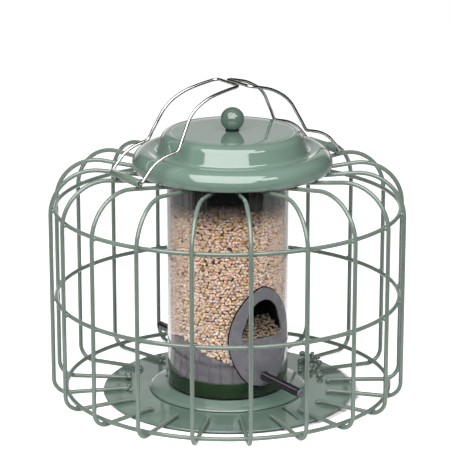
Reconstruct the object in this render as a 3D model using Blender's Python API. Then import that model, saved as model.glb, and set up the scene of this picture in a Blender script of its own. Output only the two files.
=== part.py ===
# Seed bird feeder: a clear seed tube stands on a round tray inside a cage of coated wire, under a
# lift-off lid that two steel bails lock down.
# Metres, +Z up. The origin is the bottom centre, on the surface that the tray's rim stands on.
# The front port faces -Y, the rear port +Y, and the bails hinge at -X and +X.

import math

import bmesh
import bpy
from mathutils import Matrix, Vector

# Fits
SEAT_GAP = 0.0003                     # between pieces that touch
PIVOT_CLEARANCE = 0.00035             # bail wire in its pivot tube
CUT_OVERRUN = 0.003                   # how far a cutter runs past what it cuts

# Wire cage
WIRE_D = 0.0032
CAGE_R = 0.1323                       # centre line of the upright wires
CAGE_H = 0.1728                       # centre line, lowest point to highest point
UPRIGHT_COUNT = 20
FIRST_UPRIGHT_AZIMUTH = math.radians(-81)
SHOULDER_SLOPE = math.radians(7.5)    # the upper legs fall towards the middle
SHOULDER_END_R = 0.056
FOOT_BEND_R = 0.0115
FOOT_SLOPE = math.radians(1.8)        # the lower legs rise towards the middle
FOOT_END_R = 0.077
UPPER_HOOP_H = 0.1428                 # hoop heights above the cage's lowest centre line
MIDDLE_HOOP_H = 0.0746
FOOT_HOOP_TILT = math.radians(12)     # where the bottom hoop lies in the foot bends
TOP_RING_INSET = 0.0066               # from the legs' inner ends out to the ring on top of them

# Tray
SHEET_T = 0.0012
TRAY_R = 0.09475
TRAY_TOP = 0.00275                    # top surface at the rim, above the ground
RIM_W = 0.0022
RIM_EDGE = 0.0006
TRAY_SLOT_INSET = 0.0202              # from the tray's edge in to the slot's middle
TRAY_SLOT_R = TRAY_R - TRAY_SLOT_INSET
TRAY_SLOT_L = 0.028
TRAY_SLOT_W = 0.0018
TRAY_SLOT_AZIMUTH = math.radians(-86)
TRAY_SLOT_TURN = math.radians(-12)    # away from the radius through its middle

# Base disc, cup and centre screw
DISC_R = 0.05975
DISC_EDGE_H = 0.0018
DISC_H = 0.0038
DISC_FLAT_R = 0.0468
CUP_H = 0.0124
CUP_WALL = 0.0025
SCREW_D = 0.004
SCREW_HEAD_D = 0.0075
SCREW_HEAD_H = 0.0018
BOSS_WALL = 0.0022
SCREW_GRIP = 0.0085                   # length of screw in the divider's boss

# Seed tube and the seed in it
TUBE_R = 0.0455
TUBE_WALL = 0.002
DIVIDER_H = 0.0305
DIVIDER_WALL = 0.002

# Filling collar
FLANGE_R = 0.060
FLANGE_T = 0.0015
COLLAR_DEPTH = 0.0205
COLLAR_WALL = 0.0016
WINDOW_W = 0.030
WINDOW_DROP = 0.0015                  # from the flange down to the window's top edge
WINDOW_AZIMUTH = math.radians(-124)

# Ports
PORT_T = 0.0025
PORT_H = 0.076
PORT_HALF_W = 0.028
PORT_LIFT = 0.0102                    # from the tube's lower end up to the port plate
SILL_H = 0.037                        # from the plate's lower end up to the mouth's sill
MOUTH_H = 0.0299
MOUTH_HALF_W = 0.018
HOOD_DEPTH = 0.015
HOOD_WALL = 0.0016
HOOD_RISE = 0.010                     # how far the hood's open side rises towards its back

# Perches
PERCH_D = 0.0065
PERCH_L = 0.047
PERCH_SPIGOT_D = 0.004
PERCH_SPIGOT_L = 0.0075
PERCH_H = 0.0076                      # axis above the plate's lower end
PERCH_CHAMFER = 0.0006

# Lid
LID_H = 0.0281
LID_OFFSET_X = 0.0028                 # the loose lid lies a little off centre
LID_OFFSET_Y = -0.0019
LEDGE_H = 0.0146                      # the brim's highest circle
BRIM_R = 0.0745
BRIM_ROUND = 0.010
BRIM_BACK_TURN = math.radians(12)     # how far the brim's round runs on behind its highest circle
RIM_TUCK = 0.0017                     # how far the brim draws in at its lower edge
LID_RIM_R = BRIM_R - RIM_TUCK
CAP_R = 0.0536                        # where the cap's round would meet an upright wall
CAP_ROUND = 0.007
CAP_WALL_TILT = math.radians(17)
CAP_FILLET = 0.0035
MOAT_H = 0.0131                       # lowest circle between the cap and the brim

# Knob
KNOB_D = 0.0178
KNOB_SEAT_D = 0.0092
KNOB_WASHER_D = 0.0104
KNOB_WASHER_T = 0.0007
KNOB_HOLE_DEPTH = 0.007

# Bails and the tubes that they hinge in
BAIL_WIRE_D = 0.0024
PIVOT_REACH = 0.014                   # from the lid's brim out to the pivots
PIVOT_X = BRIM_R + PIVOT_REACH
PIVOT_TO_BEND = 0.0108                # from the pivots out to where the wires' shoulders bend
SHOULDER_BEND_R = CAGE_R - PIVOT_X - PIVOT_TO_BEND
PIVOT_TUBE_D = 0.006
PIVOT_TUBE_L = 0.037
PIVOT_INSERT = 0.011                  # length of each bail end in its tube
PIVOT_BEND_R = 0.002
ARM_Y = 0.0205
BAR_Y = 0.015                         # half length of a bail's top bar
BAR_BEND_R = 0.004
BAIL_RISE = 0.0597
LEFT_BAR_X = -0.0003                  # how far each bail's bar stops short of the middle
RIGHT_BAR_X = 0.0088

# Facets
WIRE_BEVEL_STEPS = 2
HOOP_STEPS = 40
TURN_STEPS = 40
TRAY_STEPS = 60
TUBE_STEPS = 48
SMALL_STEPS = 16

# Outline of a port plate from its top to its bottom, and of the mouth in it: each point is a share
# of the height and a share of the half width.
PORT_SHARES = (
    (1.0, 0.0), (0.974, 0.214), (0.912, 0.486), (0.789, 0.693), (0.718, 0.854), (0.625, 0.946),
    (0.487, 1.0), (0.355, 0.95), (0.263, 0.857), (0.197, 0.771), (0.118, 0.643), (0.039, 0.446),
    (0.0105, 0.25), (0.0, 0.0))
MOUTH_SHARES = (
    (1.0, 0.0), (0.983, 0.19), (0.936, 0.344), (0.843, 0.522), (0.736, 0.667), (0.585, 0.778),
    (0.435, 0.861), (0.234, 0.975), (0.134, 1.0), (0.06, 0.97), (0.017, 0.87), (0.0, 0.72),
    (0.0, 0.36), (0.0, 0.0))
# The divider's roof from the ridge to the wall: share of the radius, share of the height.
ROOF_SHARES = (
    (0.0, 1.0), (0.09, 0.975), (0.278, 0.882), (0.551, 0.675), (0.755, 0.518), (0.891, 0.377),
    (1.0, 0.26))
# A bail's arm from its pivot to the middle: share of the pivot's x, share of the rise.
ARM_SHARES = (
    (1.0, 0.0), (0.955, 0.082), (0.896, 0.178), (0.836, 0.243), (0.775, 0.285), (0.706, 0.313),
    (0.650, 0.333), (0.638, 0.347), (0.621, 0.395), (0.603, 0.439), (0.593, 0.497), (0.568, 0.539),
    (0.531, 0.648), (0.514, 0.687), (0.452, 0.787), (0.379, 0.858), (0.294, 0.916), (0.192, 0.948),
    (0.090, 0.978), (0.0, 1.0), (-0.02, 1.004))
KINK_SHARE = 0.347                    # share of the rise where the arms start to draw in

WIRE_R = WIRE_D / 2


# The cage's side view: a foot bend, an upright run and a shoulder bend.

def leg_rise(radius):
    """Height of a lower leg's centre line at a radius."""
    return TRAY_TOP + SEAT_GAP + WIRE_R / math.cos(FOOT_SLOPE) + (TRAY_R - radius) * math.tan(FOOT_SLOPE)


FOOT_CENTRE_R = CAGE_R - FOOT_BEND_R
FOOT_CENTRE_Z = (leg_rise(FOOT_CENTRE_R - FOOT_BEND_R * math.sin(FOOT_SLOPE))
                 + FOOT_BEND_R * math.cos(FOOT_SLOPE))
FOOT_Z = FOOT_CENTRE_Z - FOOT_BEND_R
SHOULDER_CENTRE_R = CAGE_R - SHOULDER_BEND_R
SHOULDER_CENTRE_Z = FOOT_Z + CAGE_H - SHOULDER_BEND_R
SHOULDER_START_R = SHOULDER_CENTRE_R - SHOULDER_BEND_R * math.sin(SHOULDER_SLOPE)
SHOULDER_START_Z = SHOULDER_CENTRE_Z + SHOULDER_BEND_R * math.cos(SHOULDER_SLOPE)


def shoulder_z(radius):
    """Height of an upper leg's centre line at a radius."""
    return SHOULDER_START_Z - (SHOULDER_START_R - radius) * math.tan(SHOULDER_SLOPE)


def upright_r(height):
    """Radius of an upright's centre line at a height."""
    above = height - SHOULDER_CENTRE_Z
    if above <= 0:
        return CAGE_R
    return SHOULDER_CENTRE_R + math.sqrt(SHOULDER_BEND_R ** 2 - above ** 2)


def leg_top(radius):
    """Height where a level piece rests on the upper legs, its edge at this radius."""
    return shoulder_z(radius) + WIRE_R / math.cos(SHOULDER_SLOPE) + SEAT_GAP


# Seats, from the ground up
TRAY_FLOOR = TRAY_TOP + (TRAY_R - DISC_R) * math.tan(FOOT_SLOPE)
DISC_SEAT = TRAY_FLOOR + SEAT_GAP
TUBE_SEAT = DISC_SEAT + DISC_H + SEAT_GAP
CUP_TOP = TUBE_SEAT + CUP_H
DIVIDER_SEAT = CUP_TOP + SEAT_GAP
COLLAR_SEAT = leg_top(FLANGE_R)
TUBE_TOP = COLLAR_SEAT - SEAT_GAP
SEED_TOP = COLLAR_SEAT - COLLAR_DEPTH - SEAT_GAP
TUBE_BORE_R = TUBE_R - TUBE_WALL
FILL_R = TUBE_BORE_R - SEAT_GAP
PORT_INNER_R = TUBE_R + SEAT_GAP
PORT_OUTER_R = PORT_INNER_R + PORT_T
PORT_Z = TUBE_SEAT + PORT_LIFT
SILL_Z = PORT_Z + SILL_H
PERCH_Z = PORT_Z + PERCH_H
SCREW_HOLE_R = SCREW_D / 2 + SEAT_GAP
LID_SEAT = leg_top(LID_RIM_R + math.hypot(LID_OFFSET_X, LID_OFFSET_Y))
PIVOT_Z = shoulder_z(PIVOT_X / math.cos(math.pi / UPRIGHT_COUNT)) + (
    (WIRE_D + PIVOT_TUBE_D) / 2 + SEAT_GAP) / math.cos(SHOULDER_SLOPE)


# Building helpers

def clear_scene():
    for item in list(bpy.data.objects):
        bpy.data.objects.remove(item, do_unlink=True)


def new_material(name, color, roughness, metallic=0.0, transmission=0.0):
    material = bpy.data.materials.new(name)
    material.use_nodes = True
    shader = material.node_tree.nodes["Principled BSDF"]
    shader.inputs["Base Color"].default_value = (*color, 1.0)
    shader.inputs["Roughness"].default_value = roughness
    shader.inputs["Metallic"].default_value = metallic
    shader.inputs["Transmission Weight"].default_value = transmission
    material.diffuse_color = (*color, 1.0)
    return material


def add_object(name, data, material=None):
    item = bpy.data.objects.new(name, data)
    bpy.context.scene.collection.objects.link(item)
    if material is not None:
        data.materials.clear()
        data.materials.append(material)
    return item


def add_empty(name, location):
    empty = add_object(name, None)
    empty.location = location
    return empty


def mesh_object(name, shape, material=None):
    bmesh.ops.recalc_face_normals(shape, faces=shape.faces)
    mesh = bpy.data.meshes.new(name)
    shape.to_mesh(mesh)
    shape.free()
    return add_object(name, mesh, material)


def shade(item, angle=math.radians(35)):
    item.data.shade_smooth()
    item.data.set_sharp_from_angle(angle=angle)


def turned(name, profile, steps, material=None, axis="Z"):
    """Spins a closed outline of (radius, height) points round an axis."""
    shape = bmesh.new()
    points = [shape.verts.new((radius, 0, height)) for radius, height in profile]
    edges = [shape.edges.new((a, b)) for a, b in zip(points, points[1:] + points[:1])]
    bmesh.ops.spin(shape, geom=points + edges, axis=(0, 0, 1), cent=(0, 0, 0),
                   angle=math.tau, steps=steps, use_merge=True)
    bmesh.ops.remove_doubles(shape, verts=shape.verts, dist=SEAT_GAP / 100)
    bmesh.ops.dissolve_degenerate(shape, edges=shape.edges, dist=SEAT_GAP / 100)
    loose = [edge for edge in shape.edges if not edge.link_faces]
    bmesh.ops.delete(shape, geom=loose, context="EDGES")
    if axis == "Y":
        bmesh.ops.rotate(shape, verts=shape.verts, cent=(0, 0, 0), matrix=Matrix.Rotation(math.radians(90), 3, "X"))
    return mesh_object(name, shape, material)


def prism(name, outline, start, end, axis="Y"):
    """Extrudes a closed outline of (u, v) points: (x, z) along Y, or (y, z) along X."""
    shape = bmesh.new()
    if axis == "Y":
        points = [shape.verts.new((u, start, v)) for u, v in outline]
        push = (0, end - start, 0)
    else:
        points = [shape.verts.new((start, u, v)) for u, v in outline]
        push = (end - start, 0, 0)
    face = shape.faces.new(points)
    grown = bmesh.ops.extrude_face_region(shape, geom=[face])
    moved = [item for item in grown["geom"] if isinstance(item, bmesh.types.BMVert)]
    bmesh.ops.translate(shape, verts=moved, vec=push)
    return mesh_object(name, shape)


def rod(name, radius, start, end, steps=SMALL_STEPS):
    """A solid cylinder between two points."""
    start, end = Vector(start), Vector(end)
    shape = bmesh.new()
    bmesh.ops.create_cone(shape, cap_ends=True, segments=steps, radius1=radius, radius2=radius,
                          depth=(end - start).length)
    turn = (end - start).to_track_quat("Z", "Y").to_matrix()
    bmesh.ops.rotate(shape, verts=shape.verts, cent=(0, 0, 0), matrix=turn)
    bmesh.ops.translate(shape, verts=shape.verts, vec=(start + end) / 2)
    return mesh_object(name, shape)


def combine(target, tool, operation="DIFFERENCE"):
    modifier = target.modifiers.new(operation.title(), "BOOLEAN")
    modifier.operation = operation
    modifier.object = tool
    bpy.context.view_layer.objects.active = target
    bpy.ops.object.modifier_apply(modifier=modifier.name)
    bpy.data.objects.remove(tool, do_unlink=True)


def wire_curve(name, points, diameter, cyclic=False):
    curve = bpy.data.curves.new(name, "CURVE")
    curve.dimensions = "3D"
    curve.bevel_depth = diameter / 2
    curve.bevel_resolution = WIRE_BEVEL_STEPS
    curve.use_fill_caps = not cyclic
    spline = curve.splines.new("POLY")
    spline.points.add(len(points) - 1)
    for spot, point in zip(spline.points, points):
        spot.co = (*point, 1.0)
    spline.use_cyclic_u = cyclic
    spline.use_smooth = True
    return curve


def arc(centre, radius, start, end, steps):
    """Points on an arc in a (radius, height) outline, both ends included."""
    return [(centre[0] + radius * math.cos(start + (end - start) * step / steps),
             centre[1] + radius * math.sin(start + (end - start) * step / steps))
            for step in range(steps + 1)]


def offset_outline(outline, distance, closed=True):
    """Moves each point of an outline sideways, to the left of its direction."""
    count = len(outline)
    moved = []
    for index, point in enumerate(outline):
        here = Vector(point)
        before = Vector(outline[index - 1]) if closed or index else None
        after = Vector(outline[(index + 1) % count]) if closed or index < count - 1 else None
        normals = []
        for first, second in ((before, here), (here, after)):
            if first is not None and second is not None and (second - first).length > 0:
                run = (second - first).normalized()
                normals.append(Vector((-run.y, run.x)))
        middle = sum(normals, Vector((0, 0))).normalized()
        moved.append(tuple(here + middle * distance / max(middle.dot(normals[0]), 0.5)))
    return moved


def rounded_corner(before, corner, after, radius, steps):
    """Points of a fillet between two straight runs that meet at a corner."""
    into, out = (corner - before).normalized(), (after - corner).normalized()
    turn = into.angle(out)
    reach = radius * math.tan(turn / 2)
    start = corner - into * reach
    centre = start + (out - into * into.dot(out)).normalized() * radius
    spoke = start - centre
    axis = into.cross(out).normalized()
    return [centre + Matrix.Rotation(turn * step / steps, 3, axis) @ spoke for step in range(steps + 1)]


# Cage

def build_cage(enamel):
    cage = add_empty("cage", (0, 0, 0))
    foot = arc((FOOT_CENTRE_R, FOOT_CENTRE_Z), FOOT_BEND_R, -math.pi / 2 - FOOT_SLOPE, 0, 5)
    shoulder = arc((SHOULDER_CENTRE_R, SHOULDER_CENTRE_Z), SHOULDER_BEND_R,
                   0, math.pi / 2 + SHOULDER_SLOPE, 8)
    outline = ([(FOOT_END_R, leg_rise(FOOT_END_R))] + foot + shoulder
               + [(SHOULDER_END_R, shoulder_z(SHOULDER_END_R))])
    upright = wire_curve("upright_wire", [(radius, 0, height) for radius, height in outline], WIRE_D)
    for index in range(UPRIGHT_COUNT):
        wire = add_object(f"upright_wire_{index + 1:02d}", upright)
        wire.rotation_euler.z = FIRST_UPRIGHT_AZIMUTH + index * math.tau / UPRIGHT_COUNT
        wire.parent = cage
    upright.materials.append(enamel)

    inside = WIRE_D + SEAT_GAP
    foot_reach = FOOT_BEND_R - inside
    hoops = {
        "upper_hoop": (upright_r(FOOT_Z + UPPER_HOOP_H) - inside, FOOT_Z + UPPER_HOOP_H),
        "middle_hoop": (CAGE_R - inside, FOOT_Z + MIDDLE_HOOP_H),
        "bottom_hoop": (FOOT_CENTRE_R + foot_reach * math.sin(FOOT_HOOP_TILT),
                        FOOT_CENTRE_Z - foot_reach * math.cos(FOOT_HOOP_TILT)),
        "top_ring": (SHOULDER_END_R + TOP_RING_INSET,
                     shoulder_z(SHOULDER_END_R + TOP_RING_INSET) + inside / math.cos(SHOULDER_SLOPE)),
    }
    for name, (radius, height) in hoops.items():
        points = [(radius * math.cos(FIRST_UPRIGHT_AZIMUTH + math.tau * step / HOOP_STEPS),
                   radius * math.sin(FIRST_UPRIGHT_AZIMUTH + math.tau * step / HOOP_STEPS), 0)
                  for step in range(HOOP_STEPS)]
        hoop = add_object(name, wire_curve(name, points, WIRE_D, cyclic=True), enamel)
        hoop.location.z = height
        hoop.parent = cage


# Tray and base

def build_tray(enamel):
    under = TRAY_FLOOR - SHEET_T
    tray = turned("tray", [
        (SCREW_HOLE_R, TRAY_FLOOR), (DISC_R, TRAY_FLOOR),
        (TRAY_R - RIM_EDGE, TRAY_TOP), (TRAY_R, TRAY_TOP - RIM_EDGE),
        (TRAY_R, RIM_EDGE), (TRAY_R - RIM_EDGE, 0), (TRAY_R - RIM_W, 0),
        (TRAY_R - RIM_W, TRAY_TOP - SHEET_T), (DISC_R, under), (SCREW_HOLE_R, under)],
        TRAY_STEPS, enamel)
    length, width = TRAY_SLOT_L / 2, TRAY_SLOT_W / 2
    slot = prism("slot_cutter", [(-width, -CUT_OVERRUN), (width, -CUT_OVERRUN),
                                 (width, TRAY_FLOOR + CUT_OVERRUN), (-width, TRAY_FLOOR + CUT_OVERRUN)],
                 -length, length)
    slot.rotation_euler.z = TRAY_SLOT_AZIMUTH + TRAY_SLOT_TURN - math.pi / 2
    slot.location.x = TRAY_SLOT_R * math.cos(TRAY_SLOT_AZIMUTH)
    slot.location.y = TRAY_SLOT_R * math.sin(TRAY_SLOT_AZIMUTH)
    combine(tray, slot)
    shade(tray)


def build_base(enamel, green_plastic, steel):
    top = DISC_SEAT + DISC_H
    edge = [(SCREW_HOLE_R, top), (DISC_FLAT_R, top), (DISC_R - DISC_EDGE_H, DISC_SEAT + DISC_EDGE_H),
            (DISC_R - DISC_EDGE_H / 4, DISC_SEAT + DISC_EDGE_H * 3 / 4), (DISC_R, DISC_SEAT + DISC_EDGE_H / 4),
            (DISC_R, DISC_SEAT), (DISC_R - SHEET_T, DISC_SEAT),
            (DISC_R - SHEET_T * 3 / 2, DISC_SEAT + DISC_EDGE_H - SHEET_T),
            (DISC_FLAT_R, top - SHEET_T), (SCREW_HOLE_R, top - SHEET_T)]
    shade(turned("base_disc", edge, TURN_STEPS, enamel))

    floor = TUBE_SEAT + CUP_WALL
    shade(turned("base_cup", [
        (SCREW_HOLE_R, TUBE_SEAT), (FILL_R, TUBE_SEAT), (FILL_R, CUP_TOP), (FILL_R - CUP_WALL, CUP_TOP),
        (FILL_R - CUP_WALL, floor), (SCREW_HOLE_R, floor)], TUBE_STEPS, green_plastic))

    head_top = TRAY_FLOOR - SHEET_T - SEAT_GAP
    tip = floor + SEAT_GAP + SCREW_GRIP
    build_screw("base_screw", head_top, tip, steel)


def build_screw(name, head_top, tip, steel, parent=None):
    """A pan-head screw that points up."""
    head, shank = SCREW_HEAD_D / 2, SCREW_D / 2
    screw = turned(name, [
        (0, head_top - SCREW_HEAD_H), (head * 3 / 4, head_top - SCREW_HEAD_H),
        (head, head_top - SCREW_HEAD_H / 2), (head, head_top), (shank, head_top),
        (shank, tip - shank / 2), (shank / 2, tip), (0, tip)], SMALL_STEPS, steel)
    shade(screw)
    screw.parent = parent


# Seed holder

def port_angle(half_width):
    return half_width / PORT_OUTER_R


def half_outlines():
    plate = [(PORT_HALF_W * w, PORT_Z + PORT_H * h) for h, w in PORT_SHARES]
    mouth = [(MOUTH_HALF_W * w, SILL_Z + MOUTH_H * h) for h, w in MOUTH_SHARES]
    return plate, mouth


def whole_outline(half):
    """Mirrors a half outline that runs from top to bottom, both ends on the middle line."""
    return half + [(-u, v) for u, v in reversed(half[1:-1])]


def mouth_outline(margin=0.0):
    """The mouth as seen from the front, as (x, z) points, grown by a margin."""
    mouth = whole_outline([(PORT_OUTER_R * math.sin(port_angle(u)), v) for u, v in half_outlines()[1]])
    return offset_outline(mouth, margin) if margin else mouth


def hood_slope(drop):
    """The side view below the hood's sloping open side, as (y, z) points, for the front port."""
    near, far = -TUBE_BORE_R, -(TUBE_R - HOOD_DEPTH)
    steep = HOOD_RISE / (far - near)
    beyond = far + CUT_OVERRUN
    low = SILL_Z - HOOD_WALL - CUT_OVERRUN
    return [(near, SILL_Z - drop), (beyond, SILL_Z - drop + steep * (beyond - near)),
            (beyond, low), (near, low)]


def build_port_mesh(grey_plastic):
    """A curved plate round the mouth, with a hood that reaches into the tube."""
    plate, mouth = [whole_outline(half) for half in half_outlines()]
    count = len(plate)
    bands = 3
    shape = bmesh.new()
    skins = []
    for radius in (PORT_INNER_R, PORT_OUTER_R):
        rings = []
        for band in range(bands + 1):
            blend = band / bands
            ring = []
            for (pu, pv), (mu, mv) in zip(plate, mouth):
                angle = port_angle(mu + (pu - mu) * blend)
                ring.append(shape.verts.new((radius * math.sin(angle), -radius * math.cos(angle),
                                             mv + (pv - mv) * blend)))
            rings.append(ring)
        skins.append(rings)
    inner, outer = skins
    for index in range(count):
        after = (index + 1) % count
        for rings in skins:
            for near, far in zip(rings, rings[1:]):
                shape.faces.new((near[index], near[after], far[after], far[index]))
        for edge in (0, bands):
            shape.faces.new((inner[edge][index], inner[edge][after],
                             outer[edge][after], outer[edge][index]))
    port = mesh_object("front_port", shape, grey_plastic)

    back = -(TUBE_R - HOOD_DEPTH)
    outside = -(PORT_OUTER_R + CUT_OVERRUN)
    hood = prism("hood", mouth_outline(HOOD_WALL), outside, back)
    combine(hood, rod("hood_limit", PORT_INNER_R + PORT_T / 2, (0, 0, 0), (0, 0, COLLAR_SEAT), TUBE_STEPS),
            "INTERSECT")
    combine(hood, prism("hood_opening", hood_slope(0), -PORT_HALF_W, PORT_HALF_W, axis="X"))
    combine(port, hood, "UNION")
    combine(port, prism("mouth_cutter", mouth_outline(), outside, back - HOOD_WALL))
    combine(port, perch_cutter())
    shade(port)
    return port


def perch_cutter(side=-1):
    """Clears a perch's spigot at the front (-1) or at the rear (+1)."""
    return rod("perch_cutter", PERCH_SPIGOT_D / 2 + SEAT_GAP,
               (0, side * (PORT_OUTER_R + CUT_OVERRUN), PERCH_Z),
               (0, side * (PORT_OUTER_R - PERCH_SPIGOT_L - CUT_OVERRUN), PERCH_Z))


def build_ports(grey_plastic, dark_plastic):
    front = build_port_mesh(grey_plastic)
    rear = add_object("rear_port", front.data)
    rear.rotation_euler.z = math.pi

    root = PORT_OUTER_R + SEAT_GAP
    tip = root + PERCH_L
    rod_r, spigot_r = PERCH_D / 2, PERCH_SPIGOT_D / 2
    profile = [(0, root - PERCH_SPIGOT_L), (spigot_r, root - PERCH_SPIGOT_L), (spigot_r, root),
               (rod_r, root), (rod_r, tip - PERCH_CHAMFER), (rod_r - PERCH_CHAMFER, tip), (0, tip)]
    perch = turned("front_perch", profile, SMALL_STEPS, dark_plastic, axis="Y")
    shade(perch)
    perch.location.z = PERCH_Z
    mate = add_object("rear_perch", perch.data)
    mate.location.z = PERCH_Z
    mate.rotation_euler.z = math.pi


def build_tube(clear_plastic):
    tube = turned("seed_tube", [
        (TUBE_BORE_R, TUBE_SEAT), (TUBE_R, TUBE_SEAT), (TUBE_R, TUBE_TOP), (TUBE_BORE_R, TUBE_TOP)],
        TUBE_STEPS, clear_plastic)
    for side in (-1, 1):
        combine(tube, prism("mouth_cutter", mouth_outline(HOOD_WALL + SEAT_GAP),
                            side * (PORT_OUTER_R + CUT_OVERRUN), side * (TUBE_R - HOOD_DEPTH)))
        combine(tube, perch_cutter(side))
    shade(tube)


def roof_outline(lift, reach, base):
    """Side view of the divider's roof and the space below it, as (y, z) points."""
    half = [(reach * r, DIVIDER_SEAT + DIVIDER_H * h + lift) for r, h in ROOF_SHARES]
    half += [(reach, base)]
    return half + [(-u, v) for u, v in reversed(half)][:-1]


def build_divider(grey_plastic):
    """A hollow saddle that throws the seed to both ports."""
    divider = prism("seed_divider", roof_outline(0, FILL_R, DIVIDER_SEAT), -TUBE_R, TUBE_R, axis="X")
    ceiling = DIVIDER_SEAT + DIVIDER_H + CUT_OVERRUN
    combine(divider, rod("divider_limit", FILL_R, (0, 0, DIVIDER_SEAT - CUT_OVERRUN), (0, 0, ceiling), TUBE_STEPS),
            "INTERSECT")
    hollow = prism("hollow", roof_outline(-DIVIDER_WALL, FILL_R, DIVIDER_SEAT - CUT_OVERRUN),
                   -TUBE_R, TUBE_R, axis="X")
    combine(hollow, rod("hollow_limit", FILL_R - DIVIDER_WALL, (0, 0, TUBE_SEAT), (0, 0, ceiling), TUBE_STEPS),
            "INTERSECT")
    combine(divider, hollow)
    boss_foot = TUBE_SEAT + CUP_WALL + SEAT_GAP
    boss_head = DIVIDER_SEAT + DIVIDER_H - DIVIDER_WALL / 2
    combine(divider, rod("boss", SCREW_HOLE_R + BOSS_WALL, (0, 0, boss_foot), (0, 0, boss_head)), "UNION")
    combine(divider, rod("boss_hole", SCREW_HOLE_R, (0, 0, boss_foot - CUT_OVERRUN),
                         (0, 0, boss_foot + SCREW_GRIP + SEAT_GAP)))
    for side in (-1, 1):
        combine(divider, perch_cutter(side))
    divider.data.materials.clear()
    divider.data.materials.append(grey_plastic)
    shade(divider)


def build_seed(seed_mix):
    """The seed stands on the divider, fills the tube and heaps up in both mouths."""
    seed = rod("seed_fill", FILL_R, (0, 0, DIVIDER_SEAT), (0, 0, SEED_TOP), TUBE_STEPS)
    floor = roof_outline(SEAT_GAP * 2, FILL_R + CUT_OVERRUN, DIVIDER_SEAT - CUT_OVERRUN)
    combine(seed, prism("seed_floor", floor, -TUBE_R, TUBE_R, axis="X"))
    back = TUBE_R - HOOD_DEPTH - SEAT_GAP
    for side in (-1, 1):
        room = prism("hood_room", mouth_outline(HOOD_WALL + SEAT_GAP), side * (TUBE_R + CUT_OVERRUN), side * back)
        heap = [(-side * y, z) for y, z in hood_slope(SEAT_GAP * 2)]
        combine(room, prism("heap", heap, -PORT_HALF_W, PORT_HALF_W, axis="X"))
        combine(seed, room)
    seed.data.materials.clear()
    seed.data.materials.append(seed_mix)
    shade(seed)


def build_collar(grey_plastic):
    foot = COLLAR_SEAT - COLLAR_DEPTH
    lip = FILL_R - COLLAR_WALL
    collar = turned("filling_collar", [
        (lip, COLLAR_SEAT + FLANGE_T), (FLANGE_R, COLLAR_SEAT + FLANGE_T), (FLANGE_R, COLLAR_SEAT),
        (FILL_R, COLLAR_SEAT), (FILL_R, foot), (lip, foot)], TUBE_STEPS, grey_plastic)
    half = WINDOW_W / 2
    head = COLLAR_SEAT - WINDOW_DROP
    window = prism("window_cutter", [(-half, foot - CUT_OVERRUN), (half, foot - CUT_OVERRUN),
                                     (half, head), (-half, head)], -TUBE_R, TUBE_R)
    window.rotation_euler.z = WINDOW_AZIMUTH - math.pi / 2
    combine(collar, window)
    shade(collar)


# Lid

def build_lid(enamel, steel, dark_plastic):
    lid = add_empty("lid_carrier", (LID_OFFSET_X, LID_OFFSET_Y, LID_SEAT))
    quarter = math.pi / 2
    cap_drop = LID_H - CAP_ROUND - MOAT_H - CAP_FILLET
    foot_r = (CAP_R - CAP_ROUND + (CAP_ROUND + CAP_FILLET) / math.cos(CAP_WALL_TILT)
              + cap_drop * math.tan(CAP_WALL_TILT))
    outer = [(SCREW_HOLE_R, LID_H)]
    outer += arc((CAP_R - CAP_ROUND, LID_H - CAP_ROUND), CAP_ROUND, quarter, CAP_WALL_TILT, 4)
    outer += arc((foot_r, MOAT_H + CAP_FILLET), CAP_FILLET, 2 * quarter + CAP_WALL_TILT, 3 * quarter, 3)
    outer += arc((BRIM_R - BRIM_ROUND, LEDGE_H - BRIM_ROUND), BRIM_ROUND, quarter + BRIM_BACK_TURN, 0, 6)
    outer += [(LID_RIM_R, 0)]
    inner = offset_outline(outer, -SHEET_T, closed=False)
    shell = turned("lid_shell", outer + inner[::-1], TURN_STEPS, enamel)
    shade(shell)
    shell.parent = lid

    washer_seat = LID_H + SEAT_GAP
    seat = washer_seat + KNOB_WASHER_T + SEAT_GAP
    washer_r = KNOB_WASHER_D / 2
    washer = turned("knob_washer", [(SCREW_HOLE_R, washer_seat), (washer_r, washer_seat),
                                    (washer_r, washer_seat + KNOB_WASHER_T),
                                    (SCREW_HOLE_R, washer_seat + KNOB_WASHER_T)], SMALL_STEPS, dark_plastic)
    shade(washer)
    washer.parent = lid
    radius = KNOB_D / 2
    tilt = math.asin(KNOB_SEAT_D / KNOB_D)
    centre = seat + radius * math.cos(tilt)
    ball = arc((0, centre), radius, -quarter + tilt, quarter, 9)[:-1]
    knob = turned("lid_knob", [(0, seat + KNOB_HOLE_DEPTH), (SCREW_HOLE_R, seat + KNOB_HOLE_DEPTH),
                               (SCREW_HOLE_R, seat)] + ball + [(0, centre + radius)], 20, enamel)
    shade(knob)
    knob.parent = lid
    build_screw("knob_screw", LID_H - SHEET_T - SEAT_GAP, seat + KNOB_HOLE_DEPTH - SEAT_GAP, steel, lid)


# Bails

def arm_height(reach):
    """Height of a bail's arm above its pivot at a distance from the middle, off the share table."""
    share = reach / PIVOT_X
    for (x0, z0), (x1, z1) in zip(ARM_SHARES, ARM_SHARES[1:]):
        if x1 <= share <= x0:
            return BAIL_RISE * (z0 + (z1 - z0) * (x0 - share) / (x0 - x1))
    return BAIL_RISE * ARM_SHARES[-1][1]


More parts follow.
